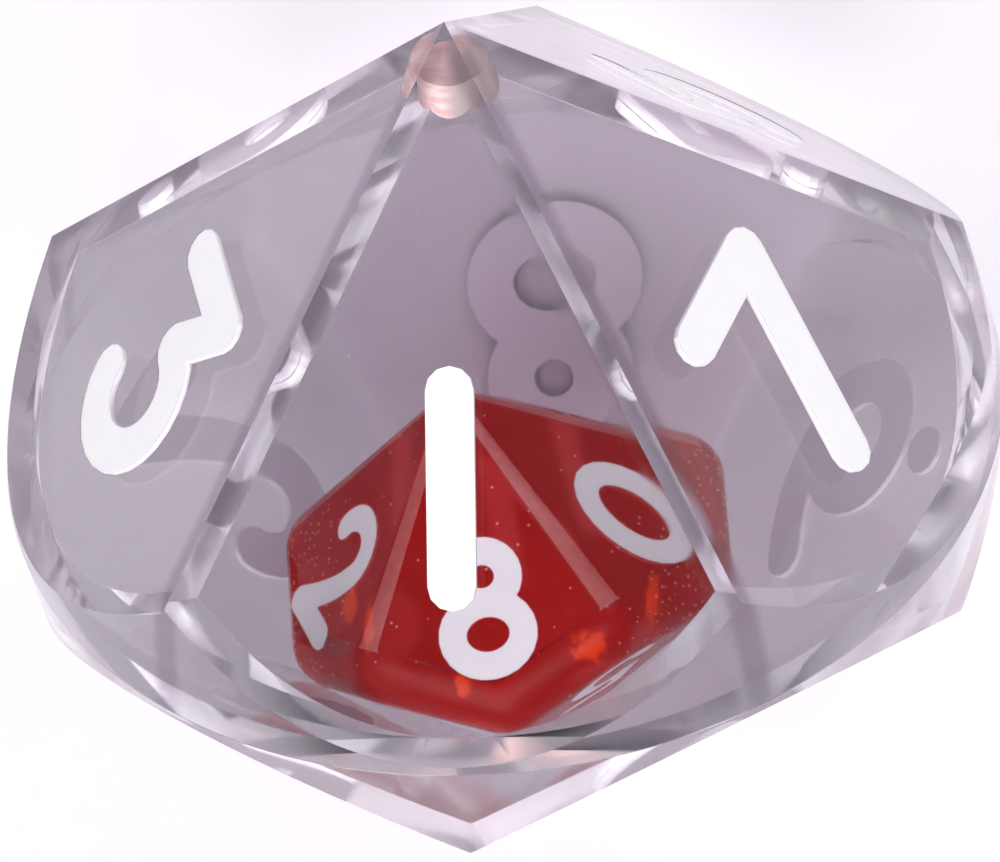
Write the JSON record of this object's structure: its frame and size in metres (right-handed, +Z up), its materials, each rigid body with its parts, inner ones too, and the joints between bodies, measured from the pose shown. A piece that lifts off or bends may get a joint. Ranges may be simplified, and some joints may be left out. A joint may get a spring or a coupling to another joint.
{
  "type": "polyhedral die",
  "caption": "Clear hollow polyhedral die in two cemented halves, with white filled numerals and a smaller red die rolling loose inside its cavity.",
  "frame": {"origin": "point of the floor under the shell's centre, with the die resting on the face that carries its 8", "axes": "+Z up, out of the face that carries the 1; +Y towards the apex that the 1 points to; +X to the right of the 1"},
  "size_m": [0.027, 0.0228, 0.0199],
  "materials": {
    "clear_plastic": "clear, polished",
    "plug_plastic": "cloudy, faintly pink",
    "red_plastic": "translucent, tumbled",
    "shell_paint": "matt paint filling",
    "inner_paint": "matt paint filling"
  },
  "bodies": {
    "shell": {"upper_shell": "clear_plastic", "lower_shell": "clear_plastic", "apex_plug": "plug_plastic", "shell_numeral_0": "shell_paint", "shell_numeral_1": "shell_paint", "shell_numeral_2": "shell_paint", "shell_numeral_3": "shell_paint", "shell_numeral_4": "shell_paint", "shell_numeral_5": "shell_paint", "shell_numeral_6": "shell_paint", "shell_numeral_6_dot": "shell_paint", "shell_numeral_7": "shell_paint", "shell_numeral_8": "shell_paint", "shell_numeral_9": "shell_paint", "shell_numeral_9_dot": "shell_paint"},
    "loose_die": {"inner_die": "red_plastic", "inner_numeral_0": "inner_paint", "inner_numeral_1": "inner_paint", "inner_numeral_2": "inner_paint", "inner_numeral_3": "inner_paint", "inner_numeral_4": "inner_paint", "inner_numeral_5": "inner_paint", "inner_numeral_6": "inner_paint", "inner_numeral_6_dot": "inner_paint", "inner_numeral_7": "inner_paint", "inner_numeral_8": "inner_paint", "inner_numeral_9": "inner_paint", "inner_numeral_9_dot": "inner_paint"}
  },
  "joints": [
    {"name": "inner_die_rattle", "type": "slide", "parent": "shell", "child": "loose_die", "axis": [0.1034, 0.7824, 0.6142], "range_m": [0, 0.00979]}
  ]
}
